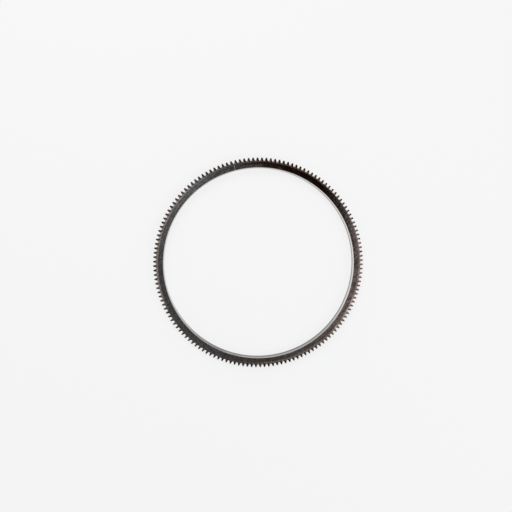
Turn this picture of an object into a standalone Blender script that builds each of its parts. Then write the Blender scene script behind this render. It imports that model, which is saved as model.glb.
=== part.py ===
"""Flywheel ring gear: a one-piece steel ring with starter teeth outside and a machined bore inside.

The ring lies on its back face. Its axis is +Z, its lead-in side is up, and the origin is the middle
of the back face. A tooth stands on +X. Lengths are in metres.
"""

import math

import bmesh
import bpy
from mathutils import Matrix

MM = 0.001

# Teeth: stub involutes, spaced by one module and as deep as teeth of a finer one
TEETH = 149
MODULE = 2.54 * MM
DEPTH_MODULE = 2.117 * MM
PRESSURE_ANGLE = math.radians(20)
ADDENDUM_MODULES = 1.0
DEDENDUM_MODULES = 1.4
BACKLASH = 0.25 * MM
ROOT_FILLET = 0.75 * MM
FULL_FILLET_SHARE = 0.9
FILLET_CHORDS = 2
FLANK_CHORDS = 2

# Ring body
RING_WIDTH = 14.0 * MM
RIM_DEPTH = 12.9 * MM
BORE_CHAMFER = 0.3 * MM
TIP_CHAMFER = 0.4 * MM

# Front bevel: turned on the blank, from just below the roots out to the tips
BEVEL_BELOW_ROOT = 3.3 * MM
BEVEL_DROP = 2.0 * MM

# Lead-in: the wider mouth of each tooth gap, which lets the starter pinion slide in.
# The heel is the side of the gap that it opens most, and the toe only loses its sharp edge.
LEAD_IN_DEPTH = 3.4 * MM
LEAD_IN_SINK = 0.6 * MM
HEEL_WIDTH = 2.0 * MM
TOE_WIDTH = 0.1 * MM

# Tool overrun, past the faces that a cutter goes through
OVERRUN = 1.0 * MM

# Finish: dark quenched steel
STEEL_COLOUR = (0.075, 0.070, 0.068, 1.0)
STEEL_METALLIC = 0.85
STEEL_ROUGHNESS = 0.45
SMOOTH_LIMIT = math.radians(12)
MERGE_DISTANCE = 0.005 * MM

PITCH_ANGLE = 2 * math.pi / TEETH
PITCH_RADIUS = MODULE * TEETH / 2
BASE_RADIUS = PITCH_RADIUS * math.cos(PRESSURE_ANGLE)
TIP_RADIUS = PITCH_RADIUS + ADDENDUM_MODULES * DEPTH_MODULE
ROOT_RADIUS = PITCH_RADIUS - DEDENDUM_MODULES * DEPTH_MODULE
BEVEL_RADIUS = ROOT_RADIUS - BEVEL_BELOW_ROOT
BORE_RADIUS = ROOT_RADIUS - RIM_DEPTH


def clear_scene():
    """Start from an empty file."""
    for old in list(bpy.data.objects):
        bpy.data.objects.remove(old, do_unlink=True)


def new_collection(name):
    """A collection of its own in the scene."""
    collection = bpy.data.collections.new(name)
    bpy.context.scene.collection.children.link(collection)
    return collection


def quenched_steel():
    """The dark finish of the hardened ring."""
    material = bpy.data.materials.new("quenched_steel")
    material.use_nodes = True
    shader = material.node_tree.nodes["Principled BSDF"]
    shader.inputs["Base Color"].default_value = STEEL_COLOUR
    shader.inputs["Metallic"].default_value = STEEL_METALLIC
    shader.inputs["Roughness"].default_value = STEEL_ROUGHNESS
    material.diffuse_color = STEEL_COLOUR
    return material


def pressure_angle_at(radius):
    """The pressure angle of the involute at a radius, which is zero below the base circle."""
    return math.acos(min(1.0, BASE_RADIUS / radius))


def half_gap_angle(radius):
    """Half the angle that a gap between two teeth spans at a radius."""
    thickness = math.pi * MODULE / 2 - BACKLASH
    at_pitch = PITCH_ANGLE / 2 - thickness / (2 * PITCH_RADIUS)
    local = pressure_angle_at(radius)
    grown = (math.tan(local) - local) - (math.tan(PRESSURE_ANGLE) - PRESSURE_ANGLE)
    return at_pitch + grown


def gap_side():
    """One side of a gap that is centred on +X, as (x, y) points from outside the tips to the floor.

    The flank is an involute, and an arc of the fillet's radius joins it to the floor.
    """
    root_half = half_gap_angle(ROOT_RADIUS)
    lean = pressure_angle_at(ROOT_RADIUS) + root_half
    half_floor = ROOT_RADIUS * root_half
    fillet = min(ROOT_FILLET, FULL_FILLET_SHARE * half_floor * math.cos(lean) / (1 - math.sin(lean)))
    centre_y = half_floor + fillet * math.tan(lean) - fillet / math.cos(lean)
    foot_radius = ROOT_RADIUS + fillet * (1 - math.sin(lean))

    outside_radius = TIP_RADIUS + OVERRUN
    points = []
    for chord in range(FLANK_CHORDS):
        radius = outside_radius + (foot_radius - outside_radius) * chord / FLANK_CHORDS
        half = half_gap_angle(radius)
        points.append((radius * math.cos(half), radius * math.sin(half)))
    for chord in range(FILLET_CHORDS + 1):
        turn = lean + (math.pi / 2 - lean) * chord / FILLET_CHORDS
        x = ROOT_RADIUS + fillet * (1 - math.sin(turn))
        y = centre_y + fillet * math.cos(turn)
        points.append((x, y))
    return points


def gap_outline(heel=0.0, toe=0.0, sink=0.0):
    """A gap's outline, from its heel's side at -Y round the floor to its toe's side.

    heel and toe move the two sides apart, and sink moves both of them towards the axis.
    """
    side = gap_side()
    heel_side = [(x - sink, -y - heel) for x, y in side]
    toe_side = [(x - sink, y + toe) for x, y in side]
    return heel_side + toe_side[::-1]


def part_way(start, end, share):
    """The outline a share of the way from one outline to another, or past either of them."""
    return [(a + (c - a) * share, b + (d - b) * share) for (a, b), (c, d) in zip(start, end)]


def gap_tool():
    """The form cutter of one gap: its outline, drawn through the width of the ring."""
    outline = gap_outline()
    curve = bpy.data.curves.new("gap_tool", "CURVE")
    curve.dimensions = "2D"
    curve.fill_mode = "BOTH"
    curve.extrude = RING_WIDTH / 2 + OVERRUN
    spline = curve.splines.new("POLY")
    spline.points.add(len(outline) - 1)
    for point, (x, y) in zip(spline.points, outline):
        point.co = (x, y, 0, 1)
    spline.use_cyclic_u = True

    drawn = bpy.data.objects.new("gap_tool", curve)
    bpy.context.scene.collection.objects.link(drawn)
    bpy.context.view_layer.update()
    mesh = bpy.data.meshes.new_from_object(drawn.evaluated_get(bpy.context.evaluated_depsgraph_get()))
    bpy.data.objects.remove(drawn, do_unlink=True)
    mesh.transform(Matrix.Translation((0, 0, RING_WIDTH / 2)))
    return mesh


def lead_in_tool():
    """The cutter of one lead-in: a loft from inside the gap up to past its mouth."""
    gap = gap_outline()
    mouth = gap_outline(HEEL_WIDTH, TOE_WIDTH, LEAD_IN_SINK)
    below = -OVERRUN / LEAD_IN_DEPTH
    sections = [
        (part_way(gap, mouth, below), RING_WIDTH - LEAD_IN_DEPTH - OVERRUN),
        (part_way(gap, mouth, 1 - below), RING_WIDTH + OVERRUN),
    ]
    body = bmesh.new()
    low, high = [[body.verts.new((x, y, z)) for x, y in outline] for outline, z in sections]
    body.faces.new(low[::-1])
    body.faces.new(high)
    for index, vertex in enumerate(low):
        after = (index + 1) % len(low)
        body.faces.new((vertex, low[after], high[after], high[index]))
    mesh = bpy.data.meshes.new("lead_in_tool")
    body.to_mesh(mesh)
    body.free()
    return mesh


def cut_at_every_gap(name, tool, collection):
    """A cutter object with one copy of a tool in each of the gaps round the ring."""
    body = bmesh.new()
    for index in range(TEETH):
        first_new = len(body.verts)
        body.from_mesh(tool)
        body.verts.ensure_lookup_table()
        turn = Matrix.Rotation((index + 0.5) * PITCH_ANGLE, 3, "Z")
        bmesh.ops.rotate(body, verts=body.verts[first_new:], cent=(0, 0, 0), matrix=turn)
    bmesh.ops.remove_doubles(body, verts=body.verts, dist=MERGE_DISTANCE)
    bmesh.ops.recalc_face_normals(body, faces=body.faces)
    mesh = bpy.data.meshes.new(name)
    body.to_mesh(mesh)
    body.free()
    cutter = bpy.data.objects.new(name, mesh)
    collection.objects.link(cutter)
    cutter.hide_render = True
    cutter.display_type = "WIRE"
    return cutter


def turned_blank(collection):
    """The ring before its teeth: a section turned round Z, with one facet centred on each tooth."""
    section = [
        (BORE_RADIUS + BORE_CHAMFER, RING_WIDTH),
        (BEVEL_RADIUS, RING_WIDTH),
        (TIP_RADIUS, RING_WIDTH - BEVEL_DROP),
        (TIP_RADIUS, TIP_CHAMFER),
        (TIP_RADIUS - TIP_CHAMFER, 0),
        (BORE_RADIUS + BORE_CHAMFER, 0),
        (BORE_RADIUS, BORE_CHAMFER),
        (BORE_RADIUS, RING_WIDTH - BORE_CHAMFER),
    ]
    corner = 1 / math.cos(PITCH_ANGLE / 2)
    corner_direction = (math.cos(PITCH_ANGLE / 2), -math.sin(PITCH_ANGLE / 2))
    body = bmesh.new()
    corners = []
    for radius, z in section:
        x = radius * corner * corner_direction[0]
        y = radius * corner * corner_direction[1]
        corners.append(body.verts.new((x, y, z)))
    for index, vertex in enumerate(corners):
        body.edges.new((vertex, corners[(index + 1) % len(corners)]))
    mesh = bpy.data.meshes.new("ring_section")
    body.to_mesh(mesh)
    body.free()

    blank = bpy.data.objects.new("ring_blank", mesh)
    collection.objects.link(blank)
    turning = blank.modifiers.new("turning", "SCREW")
    turning.angle = 2 * math.pi
    turning.steps = TEETH
    turning.render_steps = TEETH
    turning.use_merge_vertices = True
    turning.merge_threshold = MERGE_DISTANCE
    return blank


def cut(blank, name, cutter):
    """Take a cutter's shape out of the blank."""
    boolean = blank.modifiers.new(name, "BOOLEAN")
    boolean.operation = "DIFFERENCE"
    boolean.solver = "EXACT"
    boolean.object = cutter


def weld_corners(mesh):
    """Join the corners that the gap and its lead-in share, which the two cuts leave as close pairs."""
    body = bmesh.new()
    body.from_mesh(mesh)
    bmesh.ops.remove_doubles(body, verts=body.verts, dist=MERGE_DISTANCE)
    body.to_mesh(mesh)
    body.free()


def finished_ring(blank, collection):
    """The cut blank as the ring's own mesh, smooth but for its machined edges."""
    bpy.context.view_layer.update()
    mesh = bpy.data.meshes.new_from_object(blank.evaluated_get(bpy.context.evaluated_depsgraph_get()))
    mesh.name = "ring_gear"
    bpy.data.objects.remove(blank, do_unlink=True)
    weld_corners(mesh)
    mesh.shade_smooth()
    mesh.set_sharp_from_angle(angle=SMOOTH_LIMIT)
    mesh.materials.clear()
    mesh.materials.append(quenched_steel())
    ring = bpy.data.objects.new("ring_gear", mesh)
    collection.objects.link(ring)
    return ring


def main():
    """Turn the blank, cut the gaps and their lead-ins, and finish the ring."""
    clear_scene()
    parts = new_collection("flywheel_ring_gear")
    cutters = new_collection("gear_cutters")
    blank = turned_blank(parts)
    cut(blank, "tooth_gaps", cut_at_every_gap("gap_cutters", gap_tool(), cutters))
    cut(blank, "lead_ins", cut_at_every_gap("lead_in_cutters", lead_in_tool(), cutters))
    finished_ring(blank, parts)


main()
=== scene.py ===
"""Looks of a flywheel ring gear that lies on its back face on a pale studio floor.

The frame's solid gives the ring's place and size. The toothed ring is modelled again here with
finer flanks, round fillets and soft edges, and gets its quenched, heat-tinted and turned finishes,
with light and shade painted into their colours round the ring.
"""

from __future__ import annotations

import logging
import math
from collections.abc import Callable, Iterator
from contextlib import contextmanager
from dataclasses import dataclass, field
from enum import Enum

import bmesh
import bpy
from mathutils import Matrix, Vector


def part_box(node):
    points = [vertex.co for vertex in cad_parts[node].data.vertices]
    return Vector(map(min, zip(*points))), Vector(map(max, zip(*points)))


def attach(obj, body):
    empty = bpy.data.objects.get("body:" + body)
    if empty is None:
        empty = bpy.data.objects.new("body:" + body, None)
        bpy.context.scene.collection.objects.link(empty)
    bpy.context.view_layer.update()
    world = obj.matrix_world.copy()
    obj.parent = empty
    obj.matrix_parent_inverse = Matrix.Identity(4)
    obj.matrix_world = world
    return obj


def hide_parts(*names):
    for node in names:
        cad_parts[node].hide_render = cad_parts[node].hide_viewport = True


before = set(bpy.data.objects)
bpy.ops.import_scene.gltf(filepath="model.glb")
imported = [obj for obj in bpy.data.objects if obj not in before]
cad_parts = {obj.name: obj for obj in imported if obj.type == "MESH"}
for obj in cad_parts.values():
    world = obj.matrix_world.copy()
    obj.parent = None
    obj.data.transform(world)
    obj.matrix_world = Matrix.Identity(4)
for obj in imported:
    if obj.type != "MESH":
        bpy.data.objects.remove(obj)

MM = 0.001
LOG = logging.getLogger("ring_gear_looks")
Object = bpy.types.Object
Material = bpy.types.Material
Socket = bpy.types.NodeSocket
Colour = tuple[float, float, float]
Point = tuple[float, float, float]
Span = tuple[float, float]
Value = Socket | float | Colour
Test = Callable[[Vector], bool]


class Finish(Enum):
    """The finishes on the ring, in the order of its material slots."""

    QUENCHED = 0
    BORE = 1
    EDGE = 2


def clear_selection() -> None:
    """Deselect every object, so that an operator acts only on what is added next."""
    bpy.ops.object.select_all(action="DESELECT")


def choose(piece: Object) -> None:
    """Make one piece the only selected one and the active one."""
    clear_selection()
    bpy.context.view_layer.objects.active = piece
    piece.select_set(True)


@contextmanager
def edit_mode(piece: Object) -> Iterator[None]:
    """Open one piece in edit mode and leave it again.

    Args:
        piece: The mesh object to edit.
    """
    choose(piece)
    bpy.ops.object.mode_set(mode="EDIT")
    try:
        yield
    finally:
        bpy.ops.object.mode_set(mode="OBJECT")


def select_points(piece: Object, wanted: Test) -> None:
    """Select the vertices of a piece in edit mode by their place.

    Args:
        piece: The object in edit mode.
        wanted: Says of a vertex's place whether it is selected.
    """
    bpy.ops.mesh.select_mode(type="VERT")
    bpy.ops.mesh.select_all(action="DESELECT")
    body = bmesh.from_edit_mesh(piece.data)
    for point in body.verts:
        point.select = wanted(point.co)
    body.select_flush_mode()
    bmesh.update_edit_mesh(piece.data)


def apply_modifier(piece: Object, name: str) -> None:
    """Apply the modifier of that name to its piece."""
    choose(piece)
    bpy.ops.object.modifier_apply(modifier=name)


@dataclass(frozen=True)
class ToothForm:
    """Stub involute starter teeth, whose depth follows a finer module than their pitch."""

    teeth: int = 149
    module: float = 2.54 * MM
    depth_module: float = 2.117 * MM
    pressure_angle: float = math.radians(20)
    dedendum_modules: float = 1.4
    backlash: float = 0.25 * MM
    fillet: float = 0.75 * MM
    flank_chords: int = 4
    fillet_chords: int = 6

    @property
    def pitch_angle(self) -> float:
        """The angle from one tooth to the next."""
        return 2 * math.pi / self.teeth

    @property
    def pitch_radius(self) -> float:
        """The radius at which the teeth roll on the pinion's."""
        return self.module * self.teeth / 2

    @property
    def base_radius(self) -> float:
        """The radius of the circle that the involutes unwind from."""
        return self.pitch_radius * math.cos(self.pressure_angle)

    @property
    def tip_radius(self) -> float:
        """The radius over the teeth."""
        return self.pitch_radius + self.depth_module

    @property
    def root_radius(self) -> float:
        """The radius of the floors of the gaps."""
        return self.pitch_radius - self.dedendum_modules * self.depth_module

    def pressure_angle_at(self, radius: float) -> float:
        """The involute's pressure angle at a radius, which is zero below the base circle."""
        return math.acos(min(1.0, self.base_radius / radius))

    def half_gap_angle(self, radius: float) -> float:
        """Half the angle that a gap spans.

        Args:
            radius: The radius in metres.

        Returns:
            The angle in radians from the gap's middle to its flank.
        """
        thickness = math.pi * self.module / 2 - self.backlash
        at_pitch = self.pitch_angle / 2 - thickness / (2 * self.pitch_radius)
        local = self.pressure_angle_at(radius)
        grown = math.tan(local) - local
        return at_pitch + grown - (math.tan(self.pressure_angle) - self.pressure_angle)

    def gap_side(self, overrun: float) -> list[Vector]:
        """One side of a gap that is centred on +X.

        Args:
            overrun: How far past the tips the side starts.

        Returns:
            Points at +Y from outside the tips down the involute and the fillet to the floor.
        """
        lean = self.pressure_angle_at(self.root_radius) + self.half_gap_angle(self.root_radius)
        half_floor = self.root_radius * self.half_gap_angle(self.root_radius)
        centre_y = half_floor + self.fillet * (math.tan(lean) - 1 / math.cos(lean))
        foot_radius = self.root_radius + self.fillet * (1 - math.sin(lean))
        outside_radius = self.tip_radius + overrun
        points = []
        for chord in range(self.flank_chords):
            radius = outside_radius + (foot_radius - outside_radius) * chord / self.flank_chords
            half = self.half_gap_angle(radius)
            points.append(Vector((radius * math.cos(half), radius * math.sin(half), 0)))
        for chord in range(self.fillet_chords + 1):
            turn = lean + (math.pi / 2 - lean) * chord / self.fillet_chords
            x = self.root_radius + self.fillet * (1 - math.sin(turn))
            points.append(Vector((x, centre_y + self.fillet * math.cos(turn), 0)))
        return points


@dataclass(frozen=True)
class LeadIn:
    """Each gap's wider mouth: its depth, and how far its floor and sides draw back in front."""

    depth: float = 3.4 * MM
    sink: float = 0.6 * MM
    heel: float = 2.0 * MM
    toe: float = 0.1 * MM


@dataclass
class ToothedRing:
    """The ring: a section spun round Z, with its gaps and lead-ins cut and its edges softened."""

    low: Vector
    high: Vector
    tooth: ToothForm = field(default_factory=ToothForm)
    lead_in: LeadIn = field(default_factory=LeadIn)
    rim_depth: float = 12.9 * MM
    bore_chamfer: float = 0.3 * MM
    tip_chamfer: float = 0.4 * MM
    bevel_below_root: float = 3.3 * MM
    bevel_drop: float = 2.0 * MM
    steps_per_tooth: int = 2
    overrun: float = 1.0 * MM
    merge: float = 0.005 * MM
    edge_radius: float = 0.12 * MM
    edge_segments: int = 2
    edge_limit: float = math.radians(12.5)

    @property
    def width(self) -> float:
        """The ring's width along its axis."""
        return self.high.z - self.low.z

    @property
    def bore_radius(self) -> float:
        """The radius of the machined bore."""
        return self.tooth.root_radius - self.rim_depth

    @property
    def bevel_radius(self) -> float:
        """The radius at which the front face turns into its bevel."""
        return self.tooth.root_radius - self.bevel_below_root

    def section(self) -> Object:
        """The ring's section at +X: a rectangle with a bevelled front and chamfered corners.

        Returns:
            The section as a closed chain of edges.
        """
        clear_selection()
        depth = self.tooth.tip_radius - self.bore_radius
        middle = Vector((self.bore_radius + depth / 2, 0, self.low.z + self.width / 2))
        bpy.ops.mesh.primitive_plane_add(size=1, location=middle, rotation=(math.pi / 2, 0, 0))
        piece = bpy.context.object
        piece.name = "toothed_ring"
        piece.scale = (depth, self.width, 1)
        bpy.ops.object.transform_apply(location=True, rotation=True, scale=True)
        with edit_mode(piece):
            bpy.ops.mesh.select_all(action="SELECT")
            run = self.tooth.tip_radius - self.bevel_radius
            bpy.ops.mesh.bisect(
                plane_co=(self.bevel_radius, 0, self.high.z),
                plane_no=Vector((self.bevel_drop, 0, run)).normalized(),
                clear_outer=True,
            )
            select_points(piece, lambda place: place.x < self.bore_radius + self.merge)
            bpy.ops.mesh.bevel(offset=self.bore_chamfer, segments=1, affect="VERTICES")
            back_tip = Vector((self.tooth.tip_radius, 0, self.low.z))
            select_points(piece, lambda place: (place - back_tip).length < self.merge)
            bpy.ops.mesh.bevel(offset=self.tip_chamfer, segments=1, affect="VERTICES")
            bpy.ops.mesh.select_all(action="SELECT")
            bpy.ops.mesh.delete(type="ONLY_FACE")
        return piece

    def blank(self) -> Object:
        """The ring before its teeth.

        Returns:
            The section spun once round Z and closed.
        """
        piece = self.section()
        with edit_mode(piece):
            bpy.ops.mesh.select_all(action="SELECT")
            bpy.ops.mesh.spin(
                steps=self.tooth.teeth * self.steps_per_tooth,
                angle=2 * math.pi,
                center=(0, 0, 0),
                axis=(0, 0, 1),
            )
            bpy.ops.mesh.select_all(action="SELECT")
            bpy.ops.mesh.remove_doubles(threshold=self.merge)
            bpy.ops.mesh.normals_make_consistent(inside=False)
        return piece

    def gap_tool(self, name: str, bottom: float, top: float) -> Object:
        """One gap's outline drawn through a height.

        Args:
            name: The tool's name.
            bottom: The height at which it starts.
            top: The height at which it ends.

        Returns:
            The tool of the gap that is centred on +X.
        """
        side = self.tooth.gap_side(self.overrun)
        mirrored = [Vector((point.x, -point.y, 0)) for point in side]
        outline = mirrored + side[::-1]
        clear_selection()
        bpy.ops.mesh.primitive_plane_add(size=MM, location=outline[0] + Vector((0, 0, bottom)))
        tool = bpy.context.object
        tool.name = name
        bpy.ops.object.transform_apply(location=True, rotation=True, scale=True)
        with edit_mode(tool):
            bpy.ops.mesh.select_all(action="SELECT")
            bpy.ops.mesh.merge(type="CENTER")
            for start, end in zip(outline, outline[1:]):
                bpy.ops.mesh.extrude_vertices_move(TRANSFORM_OT_translate={"value": end - start})
            bpy.ops.mesh.select_all(action="SELECT")
            bpy.ops.mesh.edge_face_add()
            bpy.ops.mesh.extrude_region_move(TRANSFORM_OT_translate={"value": (0, 0, top - bottom)})
        return tool

    def open_mouth(self, tool: Object) -> None:
        """Lean a gap tool's sides apart, so that it cuts the lead-in.

        Args:
            tool: A gap tool that runs from below the lead-in to above the front.
        """
        mouth = self.lead_in
        start = self.high.z - mouth.depth
        middle = start + mouth.depth / 2
        below = -self.overrun / mouth.depth
        above = 1 - below
        with edit_mode(tool):
            for share, is_level in ((below, middle.__gt__), (above, middle.__lt__)):
                for side, spread in ((-1, -mouth.heel), (1, mouth.toe)):
                    select_points(
                        tool,
                        lambda place, side=side, is_level=is_level: (
                            place.y * side > 0 and is_level(place.z)
                        ),
                    )
                    move = (-mouth.sink * share, spread * share, 0)
                    bpy.ops.transform.translate(value=move)

    def repeat_round(self, tool: Object) -> None:
        """Copy a gap tool into every gap of the ring.

        Args:
            tool: The tool of one gap, centred on +X.
        """
        pitch = self.tooth.pitch_angle
        tool.data.transform(Matrix.Rotation(pitch / 2, 4, "Z"))
        with edit_mode(tool):
            bpy.ops.mesh.select_all(action="SELECT")
            bpy.ops.mesh.normals_make_consistent(inside=False)
            bpy.ops.mesh.spin(
                steps=self.tooth.teeth - 1,
                dupli=True,
                angle=pitch * (self.tooth.teeth - 1),
                center=(0, 0, 0),
                axis=(0, 0, 1),
            )

    def cut(self, piece: Object, tool: Object) -> None:
        """Cut a tool out of the ring and remove the tool.

        Args:
            piece: The ring.
            tool: The tool's copies, in one object.
        """
        boolean = piece.modifiers.new(tool.name, "BOOLEAN")
        boolean.operation = "DIFFERENCE"
        boolean.solver = "EXACT"
        boolean.use_self = True
        boolean.object = tool
        apply_modifier(piece, boolean.name)
        bpy.data.objects.remove(tool, do_unlink=True)

    def soften(self, piece: Object) -> None:
        """Weld the cut ring and round its edges.

        Args:
            piece: The ring.
        """
        with edit_mode(piece):
            bpy.ops.mesh.select_all(action="SELECT")
            bpy.ops.mesh.remove_doubles(threshold=self.merge)
        bevel = piece.modifiers.new("edges", "BEVEL")
        bevel.width = self.edge_radius
        bevel.segments = self.edge_segments
        bevel.limit_method = "ANGLE"
        bevel.angle_limit = self.edge_limit
        bevel.material = Finish.EDGE.value
        bevel.use_clamp_overlap = True
        apply_modifier(piece, bevel.name)

    def lay_finishes(self, piece: Object) -> None:
        """Give each face its finish, and shade the round surfaces smooth.

        Args:
            piece: The ring with its soft edges.
        """
        bore_limit = self.bore_radius + self.bore_chamfer + self.merge
        for face in piece.data.polygons:
            radius = math.hypot(face.center.x, face.center.y)
            on_bevel_foot = abs(radius - self.bevel_radius) < self.edge_radius
            if face.material_index == Finish.EDGE.value and not on_bevel_foot:
                continue
            finish = Finish.BORE if radius < bore_limit else Finish.QUENCHED
            face.material_index = finish.value
        choose(piece)
        bpy.ops.object.shade_smooth_by_angle(angle=self.edge_limit)

    def build(self, finishes: list[Material]) -> Object:
        """Model the whole ring.

        Args:
            finishes: The ring's materials, in the order of Finish.

        Returns:
            The finished ring.
        """
        piece = self.blank()
        for material in finishes:
            piece.data.materials.append(material)
        gaps = self.gap_tool("gaps", self.low.z - self.overrun, self.high.z + self.overrun)
        self.repeat_round(gaps)
        self.cut(piece, gaps)
        start = self.high.z - self.lead_in.depth - self.overrun
        mouths = self.gap_tool("mouths", start, self.high.z + self.overrun)
        self.open_mouth(mouths)
        self.repeat_round(mouths)
        self.cut(piece, mouths)
        self.soften(piece)
        self.lay_finishes(piece)
        return piece


@dataclass(frozen=True)
class Stretch:
    """A stretch of the ring: its middle, its half width and its fade, in degrees."""

    angle: float
    half_width: float
    soft: float


@dataclass(frozen=True)
class Patch:
    """A colour that covers one stretch of the ring."""

    place: Stretch
    colour: Colour
    share: float = 1.0


@dataclass(frozen=True)
class Margin:
    """A colour along the bore: the distances from the bore at which it starts and is full."""

    patch: Patch
    reach: Span


@dataclass(frozen=True)
class WallBand:
    """A stretch of the bore's wall between two heights, and what its tone is multiplied by."""

    place: Stretch
    low: float
    high: float
    tone: float


@dataclass(frozen=True)
class Grain:
    """Noise that follows the place: its features to a metre and how many finer layers it has."""

    scale: float
    layers: float = 3.0


@dataclass(frozen=True)
class Wander:
    """Noise that makes the ends of stretches uneven: its features to a metre and its reach."""

    scale: float
    reach: float


@dataclass(frozen=True)
class Streaks:
    """Drawn-out noise: its features to a metre across and to a unit along, and its layers."""

    across: float
    along: float
    layers: float


class NodeTree:
    """Adds and joins the nodes of a material or a world."""

    def __init__(self, owner: Material | bpy.types.World) -> None:
        """Open the nodes of a material or a world."""
        owner.use_nodes = True
        self.tree = owner.node_tree

    def feed(self, socket: Socket, value: Value) -> None:
        """Join a socket to another, or set its value.

        Args:
            socket: The input.
            value: An output to join, or a plain value.
        """
        if isinstance(value, bpy.types.NodeSocket):
            self.tree.links.new(value, socket)
        elif socket.type == "RGBA":
            socket.default_value = (*value, 1.0)
        else:
            socket.default_value = value

    def add(
        self, kind: str, inputs: dict[int | str, Value] | None = None, **settings: str
    ) -> bpy.types.NodeOutputs:
        """Add a node.

        Args:
            kind: The name of its type after "ShaderNode".
            inputs: What goes into its sockets, by number or name.
            **settings: Its properties.

        Returns:
            Its outputs.
        """
        node = self.tree.nodes.new("ShaderNode" + kind)
        for name, setting in settings.items():
            setattr(node, name, setting)
        for socket, value in (inputs or {}).items():
            self.feed(node.inputs[socket], value)
        return node.outputs

    def math(self, operation: str, first: Value, second: Value = 0.0) -> Socket:
        """The result of an operation of the Math node on one value or two."""
        return self.add("Math", {0: first, 1: second}, operation=operation)[0]


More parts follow.
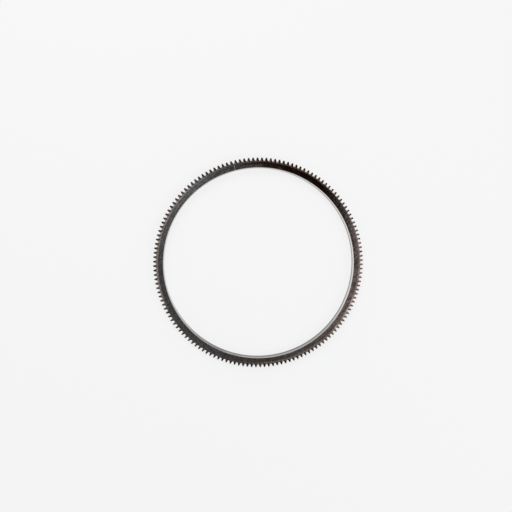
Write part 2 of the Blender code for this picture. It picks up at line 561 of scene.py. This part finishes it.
class NodePlan(NodeTree):
    """The nodes of one finish, with the places on the ring that its patterns follow."""

    # The sockets of a Mix node that carry colours share their names with others.
    mix_first = 6
    mix_second = 7
    mix_result = 2
    # A stretch ends between these angles from its middle, in degrees.
    least_end = 1.0
    greatest_end = 179.0

    def __init__(self, name: str, wander: Wander) -> None:
        """Start a material.

        Args:
            name: The material's name.
            wander: The noise that makes the ends of its stretches uneven.
        """
        self.material = bpy.data.materials.new(name)
        super().__init__(self.material)
        self.shader = self.tree.nodes["Principled BSDF"]
        self.place = self.add("TexCoord")["Object"]
        self.x, self.y, self.z = self.add("SeparateXYZ", {0: self.place})
        squares = [self.math("MULTIPLY", part, part) for part in (self.x, self.y)]
        self.radius = self.math("SQRT", self.math("ADD", *squares))
        self.broad = self.grain(Grain(wander.scale))
        self.wander = self.around(self.broad, 0.0, wander.reach)

    def product(self, *factors: Value) -> Socket:
        """Multiply several values.

        Args:
            *factors: The values, of which the first is a socket.

        Returns:
            Their product.
        """
        result = factors[0]
        for factor in factors[1:]:
            result = self.math("MULTIPLY", result, factor)
        return result

    def rise(self, value: Socket, start: float, end: float) -> Socket:
        """A smooth step: 0 where the value is at the start and 1 where it is at the end."""
        inputs = {"Value": value, "From Min": start, "From Max": end}
        return self.add("MapRange", inputs, interpolation_type="SMOOTHSTEP")["Result"]

    def spread(self, value: Socket, low: float, high: float) -> Socket:
        """Spread a value that runs from 0 to 1, so that 0 becomes low and 1 becomes high."""
        return self.math("ADD", self.math("MULTIPLY", value, high - low), low)

    def around(self, value: Socket, middle: float, reach: float) -> Socket:
        """Spread a value that runs from 0 to 1 evenly to both sides of a middle."""
        return self.spread(value, middle - reach, middle + reach)

    def mix(self, share: Value, first: Value, second: Value) -> Socket:
        """Mix two colours, of which the second shows by its share."""
        inputs = {0: share, self.mix_first: first, self.mix_second: second}
        return self.add("Mix", inputs, data_type="RGBA")[self.mix_result]

    def shade(self, colour: Socket, strength: Socket) -> Socket:
        """Multiply a colour by a value, which makes it lighter or darker."""
        return self.add("VectorMath", {0: colour, "Scale": strength}, operation="SCALE")[0]

    def noise(self, where: Socket, scale: float, layers: float) -> Socket:
        """Soft noise round 0.5, its scale being its features to a unit of its coordinates."""
        return self.add("TexNoise", {"Vector": where, "Scale": scale, "Detail": layers})["Fac"]

    def grain(self, kind: Grain) -> Socket:
        """Noise that is the same in every direction."""
        return self.noise(self.place, kind.scale, kind.layers)

    def streaks(self, kind: Streaks) -> Socket:
        """Noise whose streaks run round the ring, with no seam anywhere.

        Args:
            kind: The streaks' fineness, along them in units to a radian.

        Returns:
            A value round 0.5.
        """
        depth = self.math("ADD", self.radius, self.z)
        where = {0: self.math("MULTIPLY", depth, kind.across)}
        for axis, part in enumerate((self.x, self.y), start=1):
            where[axis] = self.product(self.math("DIVIDE", part, self.radius), kind.along)
        return self.noise(self.add("CombineXYZ", where)[0], 1.0, kind.layers)

    def strokes(self, kind: Streaks, slant: float) -> Socket:
        """Noise whose strokes run straight over the face.

        Args:
            kind: The strokes' fineness, along them in units to a metre.
            slant: Their direction, in degrees from +X.

        Returns:
            A value round 0.5.
        """
        inputs = {
            "Vector": self.place,
            "Rotation": (0, 0, math.radians(slant)),
            "Scale": (1 / kind.along, 1 / kind.across, 1 / kind.across),
        }
        where = self.add("Mapping", inputs, vector_type="TEXTURE")["Vector"]
        return self.noise(where, 1.0, kind.layers)

    def towards(self, angle: float) -> Socket:
        """How far a place lies towards a direction round the ring.

        Args:
            angle: The direction, in radians from +X.

        Returns:
            The cosine of the angle between them.
        """
        east = self.math("MULTIPLY", self.x, math.cos(angle))
        north = self.math("MULTIPLY", self.y, math.sin(angle))
        return self.math("DIVIDE", self.math("ADD", east, north), self.radius)

    def stretch(self, place: Stretch, wander: Value | None = None) -> Socket:
        """A stretch of the ring with soft ends.

        Args:
            place: Where it lies.
            wander: What makes its ends uneven, if not the material's own noise.

        Returns:
            1 in the stretch and 0 outside it.
        """
        wander = self.wander if wander is None else wander
        uneven = self.math("ADD", self.towards(math.radians(place.angle)), wander)
        outer = min(self.greatest_end, place.half_width + place.soft / 2)
        inner = max(self.least_end, place.half_width - place.soft / 2)
        return self.rise(uneven, math.cos(math.radians(outer)), math.cos(math.radians(inner)))

    def lay(
        self,
        colour: Value,
        patches: tuple[Patch, ...],
        within: Value = 1.0,
        wander: Value | None = None,
    ) -> Socket:
        """Lay patches of other colours over a colour, one after the other.

        Args:
            colour: The colour below them.
            patches: The patches.
            within: 1 where the patches may show and 0 where they may not.
            wander: What makes their ends uneven, if not the material's own noise.

        Returns:
            The patched colour.
        """
        for patch in patches:
            share = self.product(self.stretch(patch.place, wander), patch.share, within)
            colour = self.mix(share, colour, patch.colour)
        return colour

    def phase(self, teeth: int) -> Socket:
        """Where a place lies between the middles of two gaps.

        Args:
            teeth: The number of teeth.

        Returns:
            A value from -0.5 to 0.5, which is 0 in the middle of each tooth.
        """
        turn = self.math("ARCTAN2", self.y, self.x)
        pitches = self.math("MULTIPLY", turn, teeth / (2 * math.pi))
        return self.math("SUBTRACT", self.math("FRACT", self.math("ADD", pitches, 0.5)), 0.5)

    def upward(self) -> Socket:
        """How far the surface faces up: 1 if it does, 0 if it is upright, -1 if it faces down."""
        return self.add("SeparateXYZ", {0: self.add("NewGeometry")["Normal"]})["Z"]

    def bump(self, height: Socket, depth: float) -> None:
        """Bump the surface by a pattern, whose height of 1 stands for the depth in metres."""
        pressed = self.add("Bump", {"Strength": 1.0, "Distance": depth, "Height": height})
        self.feed(self.shader.inputs["Normal"], pressed["Normal"])

    def finish(self, colour: Value, metallic: Value, roughness: Value) -> Material:
        """Feed the material's shader.

        Args:
            colour: Its base colour.
            metallic: How metallic it is, from 0 to 1.
            roughness: How rough it is, from 0 to 1.

        Returns:
            The finished material.
        """
        self.feed(self.shader.inputs["Base Color"], colour)
        self.feed(self.shader.inputs["Metallic"], metallic)
        self.feed(self.shader.inputs["Roughness"], roughness)
        return self.material


@dataclass(frozen=True)
class QuenchedSteel:
    """Dark quench scale on the faces and teeth, heat tints round the roots, a weld seam, painted
    light and shade.

    Each step runs from where it is 0 to where it is 1. The steps of the band, the seam and the
    teeth are heights above the roots in metres, and a phase is a share of a tooth's pitch. Upward
    is how far the surface faces up, and facing is how far it faces up or down.
    """

    teeth: int
    bore_radius: float
    root_radius: float
    name: str = "quenched_steel"
    wander: Wander = Wander(22.0, 0.16)
    streaks: Streaks = Streaks(420.0, 9.0, 4.0)
    streak_tone: float = 0.4
    grain: Grain = Grain(900.0, 2.0)
    grain_tone: float = 0.3
    mottle: Grain = Grain(300.0)
    mottle_tone: float = 0.3
    noise_step: Span = (0.36, 0.64)
    metallic: Span = (0.8, 1.0)
    roughness: Span = (0.34, 0.58)
    lines: Streaks = Streaks(2600.0, 5.0, 2.0)
    lines_depth: float = 0.012 * MM
    pit_share: float = 0.6

    scale: Colour = (0.074, 0.069, 0.066)
    # Painted reflections: the face's tone round the ring stands in for what it reflects. It is
    # lighter at the upper left and the right, and darker at the top, the left and the bottom.
    painted_face_shading: tuple[Patch, ...] = (
        Patch(Stretch(147.0, 23.0, 36.0), (0.096, 0.097, 0.097)),
        Patch(Stretch(106.0, 10.0, 24.0), (0.046, 0.045, 0.045), 0.85),
        Patch(Stretch(-6.0, 35.0, 28.0), (0.112, 0.088, 0.083)),
        Patch(Stretch(192.0, 14.0, 24.0), (0.060, 0.057, 0.055), 0.7),
        Patch(Stretch(266.0, 20.0, 24.0), (0.060, 0.048, 0.043)),
    )
    # Painted shade: the face's nearly black reflection at the upper right.
    painted_shade: Patch = Patch(Stretch(67.0, 34.0, 26.0), (0.0072, 0.0034, 0.0024))
    painted_shade_wander: float = 0.4
    painted_shade_speckle: float = 0.3
    scuffs: Streaks = Streaks(620.0, 90.0, 2.0)
    scuff_slant: float = 48.0
    scuff_tone: Span = (0.8, 1.25)
    light_scuff: Patch = Patch(Stretch(8.0, 30.0, 30.0), (0.200, 0.170, 0.165), 0.5)
    light_scuff_step: Span = (0.54, 0.66)
    dark_scuff: Patch = Patch(Stretch(6.0, 36.0, 30.0), (0.036, 0.027, 0.024), 0.65)
    dark_scuff_step: Span = (0.46, 0.34)
    speckle: Grain = Grain(420.0)
    flecks: tuple[Patch, ...] = (
        Patch(Stretch(62.0, 40.0, 30.0), (0.050, 0.031, 0.023), 0.7),
        Patch(Stretch(195.0, 20.0, 24.0), (0.150, 0.145, 0.140), 0.4),
        Patch(Stretch(10.0, 20.0, 24.0), (0.170, 0.142, 0.134), 0.45),
    )
    fleck_step: Span = (0.56, 0.70)
    # Painted shade and light along the bore: darker at the upper right and the left, lighter at the
    # top, with a tan painted highlight at 334°.
    margins: tuple[Margin, ...] = (
        Margin(Patch(Stretch(92.0, 9.0, 20.0), (0.085, 0.077, 0.074), 0.6), (9.0 * MM, 1.5 * MM)),
        Margin(Patch(Stretch(29.0, 27.0, 24.0), (0.016, 0.009, 0.006), 0.72), (5.5 * MM, 2.5 * MM)),
        Margin(Patch(Stretch(22.0, 44.0, 36.0), (0.024, 0.016, 0.012), 0.85), (1.8 * MM, 0.6 * MM)),
        Margin(Patch(Stretch(203.0, 12.0, 16.0), (0.040, 0.038, 0.037), 0.6), (1.8 * MM, 0.6 * MM)),
        Margin(Patch(Stretch(334.0, 20.0, 20.0), (0.25, 0.185, 0.145), 0.75), (1.6 * MM, 0.6 * MM)),
    )

    edge_wander: float = 0.7 * MM
    band_step: Span = (-4.4 * MM, -3.1 * MM)
    band_upward: Span = (0.15, 0.4)
    narrow_band: Stretch = Stretch(76.0, 46.0, 36.0)
    narrowing: float = 0.9 * MM
    wide_band: Stretch = Stretch(286.0, 20.0, 18.0)
    widening: float = 1.0 * MM
    # The heat tint, painted lighter or darker round the ring by light and shade: light at the left
    # and the lower right, with a painted highlight at 335°, and dark at the top and the upper
    # right.
    band_tint_and_painted_light: tuple[Patch, ...] = (
        Patch(Stretch(166.0, 26.0, 38.0), (0.315, 0.255, 0.228), 0.85),
        Patch(Stretch(327.0, 62.0, 44.0), (0.215, 0.163, 0.142), 0.85),
        Patch(Stretch(335.0, 7.0, 15.0), (0.500, 0.385, 0.340), 0.6),
        Patch(Stretch(107.0, 12.0, 22.0), (0.078, 0.067, 0.061), 0.85),
        Patch(Stretch(68.0, 28.0, 22.0), (0.115, 0.073, 0.053), 0.85),
    )

    dark_tooth: Colour = (0.010, 0.007, 0.006)
    tooth_step: Span = (-0.2 * MM, 0.6 * MM)
    # Painted highlights: the ends of the teeth are lighter at the left and the lower right.
    painted_tooth_highlights: tuple[Patch, ...] = (
        Patch(Stretch(190.0, 46.0, 40.0), (0.035, 0.029, 0.027)),
        Patch(Stretch(340.0, 26.0, 34.0), (0.085, 0.070, 0.066)),
    )
    front_upward: Span = (0.8, 0.9)
    land_step: Span = (-3.0 * MM, -1.5 * MM)
    land_start_phase: Span = (-0.38, -0.30)
    land_end_phase: Span = (0.11, 0.03)
    no_land: tuple[Stretch, ...] = (Stretch(215.0, 38.0, 30.0), Stretch(30.0, 32.0, 28.0))

    near_teeth: Span = (-2.0 * MM, -1.2 * MM)
    slope_facing: tuple[Span, Span] = ((0.2, 0.3), (0.8, 0.7))
    heel: Colour = (0.340, 0.250, 0.215)
    heel_step: Span = (2.7 * MM, 0.9 * MM)
    # Painted light and shade on the lead-in bevels: light at the right, the upper right and the
    # lower right, dark at the left and the bottom.
    painted_heel_light: tuple[Patch, ...] = (
        Patch(Stretch(70.0, 29.0, 22.0), (0.500, 0.380, 0.310)),
        Patch(Stretch(194.0, 16.0, 24.0), (0.080, 0.060, 0.052), 0.8),
        Patch(Stretch(258.0, 48.0, 36.0), (0.020, 0.016, 0.013)),
        Patch(Stretch(15.0, 40.0, 30.0), (0.800, 0.740, 0.710)),
        Patch(Stretch(338.0, 14.0, 20.0), (0.850, 0.700, 0.630), 0.85),
    )
    # Painted light: at the right, the bevels' light colour reaches further towards the tips.
    painted_lit_heel: Stretch = Stretch(15.0, 44.0, 30.0)
    painted_lit_heel_step: Span = (3.6 * MM, 1.2 * MM)
    flank: Colour = (0.400, 0.370, 0.360)
    flank_step: Span = (4.8 * MM, 2.0 * MM)
    flank_facing: Span = (0.2, 0.1)
    # Painted reflections and shade on the flanks: light at the lower left and the right, dark at
    # the bottom.
    painted_flank_light: tuple[Patch, ...] = (
        Patch(Stretch(212.0, 26.0, 30.0), (0.900, 0.880, 0.870)),
        Patch(Stretch(15.0, 44.0, 30.0), (0.800, 0.760, 0.750)),
        Patch(Stretch(268.0, 22.0, 24.0), (0.160, 0.140, 0.130)),
    )
    toe_phase: float = -0.33
    toe_lean: float = 0.04 / MM
    toe_width_phase: Span = (0.19, 0.0633)
    toe_foot_step: Span = (-1.6 * MM, -0.4 * MM)
    toe_head_step: Span = (3.4 * MM, 1.8 * MM)
    # Painted highlights along the toe sides of the teeth's front ends.
    toe_highlight_colours: tuple[Patch, ...] = (
        Patch(Stretch(150.0, 24.0, 24.0), (0.330, 0.280, 0.255), 0.45),
        Patch(Stretch(325.0, 30.0, 24.0), (0.380, 0.310, 0.280), 0.5),
        Patch(Stretch(31.0, 28.0, 22.0), (0.800, 0.750, 0.720), 0.92),
        Patch(Stretch(222.0, 24.0, 24.0), (0.700, 0.680, 0.670), 0.9),
    )

    seam_steel: Colour = (0.29, 0.28, 0.28)
    seam_share: float = 0.8
    seam_angle: float = math.radians(105.2)
    seam_side: Span = (0.0, 0.1)
    seam_fade: Span = (0.91 * MM, 0.39 * MM)
    seam_wander: float = 0.25 * MM
    seam_step: Span = (-2.9 * MM, -4.9 * MM)

    def build(self) -> Material:
        """Make the material.

        Returns:
            The material.
        """
        plan = NodePlan(self.name, self.wander)
        streaks = plan.streaks(self.streaks)
        grain = plan.grain(self.grain)
        mottle = plan.rise(plan.grain(self.mottle), *self.noise_step)
        height = plan.math("SUBTRACT", plan.radius, self.root_radius)
        edge = plan.math("ADD", height, plan.around(streaks, 0.0, self.edge_wander))

        colour = self.scuffed(plan, self.face(plan))
        colour = self.banded(plan, colour, edge)
        colour = self.toothed(plan, colour, height, edge)
        colour = plan.mix(self.seam(plan, height, streaks), colour, self.seam_steel)
        variation = plan.product(
            plan.around(streaks, 1.0, self.streak_tone),
            plan.around(grain, 1.0, self.grain_tone),
            plan.around(mottle, 1.0, self.mottle_tone),
        )
        pits = plan.product(grain, self.pit_share)
        plan.bump(plan.math("ADD", plan.streaks(self.lines), pits), self.lines_depth)
        # Painted shade at the upper right, where the face is also fully metallic.
        painted_shade_mask = plan.stretch(self.painted_shade.place, plan.product(plan.wander, self.painted_shade_wander))
        return plan.finish(
            plan.shade(colour, variation),
            plan.spread(painted_shade_mask, *self.metallic),
            plan.spread(streaks, *self.roughness),
        )

    def face(self, plan: NodePlan) -> Socket:
        """The front and back faces between the bore and the roots, with their painted shade and
        reflections.

        Args:
            plan: The material's nodes.

        Returns:
            Their colour.
        """
        speckle = plan.grain(self.speckle)
        ends = plan.math(
            "ADD",
            plan.product(plan.wander, self.painted_shade_wander),
            plan.around(speckle, 0.0, self.painted_shade_speckle),
        )
        # Painted reflections round the face, then its painted shade at the upper right.
        colour = plan.lay(self.scale, self.painted_face_shading)
        colour = plan.lay(colour, (self.painted_shade,), wander=ends)
        colour = plan.lay(colour, self.flecks, plan.rise(speckle, *self.fleck_step))
        from_bore = plan.math("SUBTRACT", plan.radius, self.bore_radius)
        for margin in self.margins:
            colour = plan.lay(colour, (margin.patch,), plan.rise(from_bore, *margin.reach))
        return colour

    def scuffed(self, plan: NodePlan, colour: Socket) -> Socket:
        """Lay straight handling scuffs over the face, lighter and darker than the scale.

        Args:
            plan: The material's nodes.
            colour: The colour of the scale.

        Returns:
            The colour with the scuffs.
        """
        strokes = plan.strokes(self.scuffs, self.scuff_slant)
        light = plan.rise(strokes, *self.light_scuff_step)
        dark = plan.rise(strokes, *self.dark_scuff_step)
        colour = plan.lay(colour, (self.light_scuff,), light)
        colour = plan.lay(colour, (self.dark_scuff,), dark)
        tone = plan.spread(plan.rise(strokes, *self.noise_step), *self.scuff_tone)
        return plan.shade(colour, tone)

    def banded(self, plan: NodePlan, colour: Socket, edge: Socket) -> Socket:
        """Lay the heat tint over the front bevel, between the face and the teeth, painted lighter
        or darker round the ring by light and shade.

        Args:
            plan: The material's nodes.
            colour: The colour of the face.
            edge: The uneven height above the roots.

        Returns:
            The colour with the tint.
        """
        drawn_in = plan.product(plan.stretch(self.narrow_band), self.narrowing)
        spread_out = plan.product(plan.stretch(self.wide_band), self.widening)
        edge = plan.math("ADD", plan.math("SUBTRACT", edge, drawn_in), spread_out)
        faces_up = plan.rise(plan.upward(), *self.band_upward)
        inside = plan.product(plan.rise(edge, *self.band_step), faces_up)
        # The tint, with its painted light and shade.
        return plan.mix(inside, colour, plan.lay(colour, self.band_tint_and_painted_light))

    def toothed(self, plan: NodePlan, colour: Socket, height: Socket, edge: Socket) -> Socket:
        """Colour the ends of the teeth, their flanks and the lead-in bevels, with painted light and
        shade.

        Args:
            plan: The material's nodes.
            colour: The colour inside the roots.
            height: The height above the roots.
            edge: The same height, uneven.

        Returns:
            The colour with the teeth.
        """
        # The ends of the teeth, with their painted highlights.
        tooth = plan.lay(self.dark_tooth, self.painted_tooth_highlights)
        outside = plan.rise(edge, *self.tooth_step)
        colour = plan.mix(plan.math("MAXIMUM", outside, self.land(plan, height)), colour, tooth)

        facing = plan.math("ABSOLUTE", plan.upward())
        near_teeth = plan.rise(height, *self.near_teeth)
        slope = plan.product(*(plan.rise(facing, *step) for step in self.slope_facing), near_teeth)
        lit_heel = plan.rise(height, *self.painted_lit_heel_step)
        lit_heel = plan.product(plan.stretch(self.painted_lit_heel), lit_heel)
        low = plan.math("MAXIMUM", plan.rise(height, *self.heel_step), lit_heel)
        # Painted light and shade on the lead-in bevels round the ring.
        heel = plan.mix(low, tooth, plan.lay(self.heel, self.painted_heel_light))
        colour = plan.mix(slope, colour, heel)
        # Painted highlights along the toe sides of the teeth.
        colour = plan.lay(colour, self.toe_highlight_colours, self.toe_highlight_mask(plan, height))

        inside_tips = plan.rise(height, *self.flank_step)
        flank = plan.product(plan.rise(facing, *self.flank_facing), near_teeth, inside_tips)
        # The flanks, with their painted reflections and shade.
        return plan.mix(flank, colour, plan.lay(self.flank, self.painted_flank_light))

    def land(self, plan: NodePlan, height: Socket) -> Socket:
        """The flat front end of each tooth, whose dark scale runs down between two roots.

        Args:
            plan: The material's nodes.
            height: The height above the roots.

        Returns:
            1 on the lands and 0 off them.
        """
        phase = plan.phase(self.teeth)
        return plan.product(
            plan.rise(plan.upward(), *self.front_upward),
            plan.rise(phase, *self.land_start_phase),
            plan.rise(phase, *self.land_end_phase),
            plan.rise(height, *self.land_step),
            *(plan.spread(plan.stretch(place, 0.0), 1.0, 0.0) for place in self.no_land),
        )

    def toe_highlight_mask(self, plan: NodePlan, height: Socket) -> Socket:
        """The painted highlight along the toe side of each tooth's front end.

        Args:
            plan: The material's nodes.
            height: The height above the roots.

        Returns:
            1 on the lines and 0 off them.
        """
        leaning = plan.math("SUBTRACT", plan.phase(self.teeth), plan.product(height, self.toe_lean))
        return plan.product(
            plan.rise(plan.math("SUBTRACT", leaning, self.toe_phase), *self.toe_width_phase),
            plan.rise(plan.upward(), *self.front_upward),
            plan.rise(height, *self.toe_foot_step),
            plan.rise(height, *self.toe_head_step),
        )

    def seam(self, plan: NodePlan, height: Socket, streaks: Socket) -> Socket:
        """The ground seam of the ring's butt weld, a radial line on one side of the ring.

        Args:
            plan: The material's nodes.
            height: The height above the roots.
            streaks: Noise that makes the line uneven.

        Returns:
            How much of the seam's steel shows.
        """
        across = plan.product(plan.towards(self.seam_angle + math.pi / 2), plan.radius)
        uneven = plan.around(streaks, 0.0, self.seam_wander)
        return plan.product(
            plan.rise(plan.math("ADD", plan.math("ABSOLUTE", across), uneven), *self.seam_fade),
            plan.rise(plan.towards(self.seam_angle), *self.seam_side),
            plan.rise(height, *self.seam_step),
            self.seam_share,
        )


@dataclass(frozen=True)
class TurnedBore:
    """Bright turned steel on the bore's wall and chamfers, with its reflections painted in. Its
    steps are heights in metres.
    """

    name: str = "turned_bore"
    wander: Wander = Wander(30.0, 0.08)
    broad_tone: float = 0.06
    streaks: Streaks = Streaks(1500.0, 3.0, 3.0)
    streak_tone: float = 0.12
    steel: Colour = (0.790, 0.765, 0.750)
    # Painted reflection: the rear of the wall is lighter at the upper left.
    painted_reflection: Patch = Patch(Stretch(140.0, 68.0, 44.0), (0.930, 0.920, 0.910))
    painted_reflection_step: Span = (10.5 * MM, 6.5 * MM)
    lip: Patch = Patch(Stretch(0.0, 105.0, 40.0), (0.450, 0.350, 0.260), 0.85)
    lip_step: Span = (13.6 * MM, 13.8 * MM)
    # Painted shade: darker reflections in bands of the wall round the ring, and a thin dark line
    # round the wall at 228°.
    painted_shade_bands: tuple[WallBand, ...] = (
        WallBand(Stretch(135.0, 82.0, 44.0), 6.0 * MM, 15.0 * MM, 0.83),
        WallBand(Stretch(190.0, 20.0, 26.0), 4.0 * MM, 15.0 * MM, 0.86),
        WallBand(Stretch(275.0, 46.0, 52.0), -1.0 * MM, 15.0 * MM, 0.55),
        WallBand(Stretch(242.0, 8.0, 18.0), -1.0 * MM, 15.0 * MM, 0.71),
        WallBand(Stretch(290.0, 71.0, 46.0), 1.1 * MM, 6.8 * MM, 0.40),
        WallBand(Stretch(36.0, 36.0, 44.0), 2.6 * MM, 6.8 * MM, 0.38),
        WallBand(Stretch(100.0, 22.0, 24.0), 8.0 * MM, 15.0 * MM, 0.90),
        WallBand(Stretch(228.0, 25.0, 14.0), 7.9 * MM, 10.8 * MM, 0.18),
    )
    band_soft: float = 0.7 * MM
    metallic: float = 1.0
    roughness: Span = (0.24, 0.42)
    feed: float = 0.35 * MM
    turn_share: float = 0.4
    depth: float = 0.006 * MM

    def build(self) -> Material:
        """Make the material.

        Returns:
            The material.
        """
        plan = NodePlan(self.name, self.wander)
        streaks = plan.streaks(self.streaks)
        # The wall's tone includes its painted shade bands.
        tone = plan.product(
            plan.around(streaks, 1.0, self.streak_tone),
            plan.around(plan.broad, 1.0, self.broad_tone),
            *(self.band_tone(plan, band) for band in self.painted_shade_bands),
        )
        # Painted reflection at the rear of the wall, at the upper left.
        steel = plan.lay(self.steel, (self.painted_reflection,), plan.rise(plan.z, *self.painted_reflection_step))
        steel = plan.lay(steel, (self.lip,), plan.rise(plan.z, *self.lip_step))
        turns = plan.math("SINE", plan.product(plan.z, 2 * math.pi / self.feed))
        pattern = plan.math("ADD", plan.product(turns, self.turn_share), streaks)
        plan.bump(pattern, self.depth)
        roughness = plan.spread(streaks, *self.roughness)
        return plan.finish(plan.shade(steel, tone), self.metallic, roughness)

    def band_tone(self, plan: NodePlan, band: WallBand) -> Socket:
        """The tone of one band of the wall.

        Args:
            plan: The material's nodes.
            band: The band.

        Returns:
            The band's tone in the band and 1 outside it.
        """
        share = plan.product(
            plan.rise(plan.z, band.low - self.band_soft, band.low + self.band_soft),
            plan.rise(plan.z, band.high + self.band_soft, band.high - self.band_soft),
            plan.stretch(band.place),
        )
        return plan.spread(share, 1.0, band.tone)


@dataclass(frozen=True)
class WornEdge:
    """The soft edges, where the dark scale is thin and steel shows, with painted highlights and
    reflections.
    """

    name: str = "worn_edge"
    wander: Wander = Wander(22.0, 0.16)
    dark: Colour = (0.024, 0.020, 0.019)
    rubbed: Colour = (0.075, 0.067, 0.063)
    # Painted highlight: the rubbed edges are lighter at the right.
    painted_edge_highlight: Patch = Patch(Stretch(5.0, 50.0, 40.0), (0.130, 0.120, 0.115))
    wear: Grain = Grain(260.0)
    wear_step: Span = (0.46, 0.72)
    bore_side: Colour = (0.160, 0.130, 0.110)
    # Painted reflections on the bore's edges: light at the lower left and the lower right, dark at
    # the upper right.
    bore_edge_painted_light: tuple[Patch, ...] = (
        Patch(Stretch(222.0, 24.0, 20.0), (0.700, 0.690, 0.680)),
        Patch(Stretch(340.0, 22.0, 20.0), (0.420, 0.340, 0.290)),
        Patch(Stretch(32.0, 28.0, 22.0), (0.050, 0.028, 0.018)),
    )
    bore_radii: Span = (181.0 * MM, 179.0 * MM)
    metallic: float = 0.9
    roughness: float = 0.38

    def build(self) -> Material:
        """Make the material.

        Returns:
            The material.
        """
        plan = NodePlan(self.name, self.wander)
        wear = plan.rise(plan.grain(self.wear), *self.wear_step)
        # Painted highlight on the rubbed edges at the right.
        teeth = plan.mix(wear, self.dark, plan.lay(self.rubbed, (self.painted_edge_highlight,)))
        inside = plan.rise(plan.radius, *self.bore_radii)
        # Painted reflections on the bore's edges.
        colour = plan.mix(inside, teeth, plan.lay(self.bore_side, self.bore_edge_painted_light))
        return plan.finish(colour, self.metallic, self.roughness)


@dataclass(frozen=True)
class Softbox:
    """A square soft lamp that faces the ring, with its power in watts."""

    name: str
    place: Point
    size: float
    power: float

    def build(self) -> None:
        """Hang the lamp."""
        data = bpy.data.lights.new(self.name, "AREA")
        data.size = self.size
        data.energy = self.power
        lamp = bpy.data.objects.new(self.name, data)
        bpy.context.scene.collection.objects.link(lamp)
        lamp.location = self.place
        lamp.rotation_euler = (-Vector(self.place)).to_track_quat("-Z", "Y").to_euler()


@dataclass(frozen=True)
class Studio:
    """The pale floor, the soft light and the plain surroundings."""

    floor_size: float = 12.0
    floor_tone: Colour = (0.965, 0.965, 0.97)
    floor_paint: Colour = (0.86, 0.86, 0.86)
    shadow_share: float = 0.22
    horizon: float = 0.95
    zenith: float = 0.55
    fade_start: float = 0.2
    lamps: tuple[Softbox, ...] = (
        Softbox("key_softbox", (-0.5, 1.3, 1.5), 1.2, 14.0),
        Softbox("fill_softbox", (1.4, -0.5, 1.2), 1.0, 6.0),
    )

    def floor(self, height: float) -> Object:
        """The floor that the ring lies on, which shows its shadows only faintly.

        Args:
            height: The ring's lowest point.

        Returns:
            The floor.
        """
        clear_selection()
        bpy.ops.mesh.primitive_plane_add(size=self.floor_size, location=(0, 0, height))
        floor = bpy.context.object
        floor.name = "studio_floor"
        material = bpy.data.materials.new("pale_floor")
        nodes = NodeTree(material)
        nodes.tree.nodes.clear()
        rays = nodes.add("LightPath")
        seen = nodes.math("MAXIMUM", rays["Is Camera Ray"], rays["Is Glossy Ray"])
        share = nodes.math("MULTIPLY", seen, 1 - self.shadow_share)
        paint = nodes.add("BsdfDiffuse", {"Color": self.floor_paint})[0]
        tone = nodes.add("Emission", {"Color": self.floor_tone})[0]
        nodes.add("OutputMaterial", {0: nodes.add("MixShader", {0: share, 1: paint, 2: tone})[0]})
        floor.data.materials.append(material)
        return floor

    def surroundings(self) -> None:
        """The world: pale to the eye, and brighter at the horizon than overhead."""
        world = bpy.data.worlds.new("studio_world")
        bpy.context.scene.world = world
        nodes = NodeTree(world)
        nodes.tree.nodes.clear()
        height = nodes.add("SeparateXYZ", {0: nodes.add("TexCoord")["Generated"]})["Z"]
        fade = {"From Min": self.fade_start, "To Min": self.horizon, "To Max": self.zenith}
        strength = nodes.add("MapRange", {"Value": height, **fade})["Result"]
        light = nodes.add("Background", {"Strength": strength})[0]
        seen = nodes.add("Background", {"Color": self.floor_tone})[0]
        camera_ray = nodes.add("LightPath")["Is Camera Ray"]
        nodes.add("OutputWorld", {0: nodes.add("MixShader", {0: camera_ray, 1: light, 2: seen})[0]})

    def build(self, height: float) -> Object:
        """Set up the floor, the world and the lamps.

        Args:
            height: The height of the floor.

        Returns:
            The floor.
        """
        floor = self.floor(height)
        self.surroundings()
        for lamp in self.lamps:
            lamp.build()
        return floor


@dataclass(frozen=True)
class PhotoCamera:
    """The camera at the photograph's viewing angle.

    Its place is in shares of the tip radius from the middle of the ring's front. The tooth turn
    then turns it round the ring's axis, so that the teeth come where the photograph has them.
    """

    tip_radius: float
    front: float
    focal_pixels: float = 360.3
    frame_pixels: float = 512.0
    sensor_mm: float = 36.0
    nearest: float = 10 * MM
    place: Point = (-0.2715, 0.2733, 3.394)
    forward: Point = (0.0680, -0.0573, -0.9960)
    up: Point = (0.0, 0.9983, -0.0584)
    tooth_turn: float = math.radians(0.176)

    def build(self) -> Object:
        """Place the camera and make it the scene's.

        Returns:
            The camera.
        """
        data = bpy.data.cameras.new("photo_camera")
        data.sensor_width = self.sensor_mm
        data.lens = self.focal_pixels / self.frame_pixels * self.sensor_mm
        data.clip_start = self.nearest
        camera = bpy.data.objects.new("photo_camera", data)
        bpy.context.scene.collection.objects.link(camera)
        place = Vector(self.place) * self.tip_radius + Vector((0, 0, self.front))
        back = -Vector(self.forward).normalized()
        right = Vector(self.up).cross(back).normalized()
        axes = Matrix((right, back.cross(right), back)).transposed().to_4x4()
        turn = Matrix.Rotation(self.tooth_turn, 4, "Z")
        camera.matrix_world = turn @ Matrix.Translation(place) @ axes
        bpy.context.scene.camera = camera
        return camera


def main() -> None:
    """Build the ring, its finishes, the studio and the camera."""
    logging.basicConfig(level=logging.INFO)
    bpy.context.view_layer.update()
    low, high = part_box("ring_gear")

    ring = ToothedRing(low, high)
    quenched = QuenchedSteel(ring.tooth.teeth, ring.bore_radius, ring.tooth.root_radius)
    piece = ring.build([quenched.build(), TurnedBore().build(), WornEdge().build()])
    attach(piece, "root")
    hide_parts("ring_gear")
    LOG.info("%s has %d faces", piece.name, len(piece.data.polygons))

    floor = Studio().build(low.z)
    LOG.info("%s is at %.4f m", floor.name, low.z)

    bpy.context.scene.view_settings.view_transform = "Standard"
    camera = PhotoCamera(ring.tooth.tip_radius, high.z).build()
    LOG.info("%s is at %s", camera.name, tuple(camera.location))


if __name__ == "__main__":
    main()
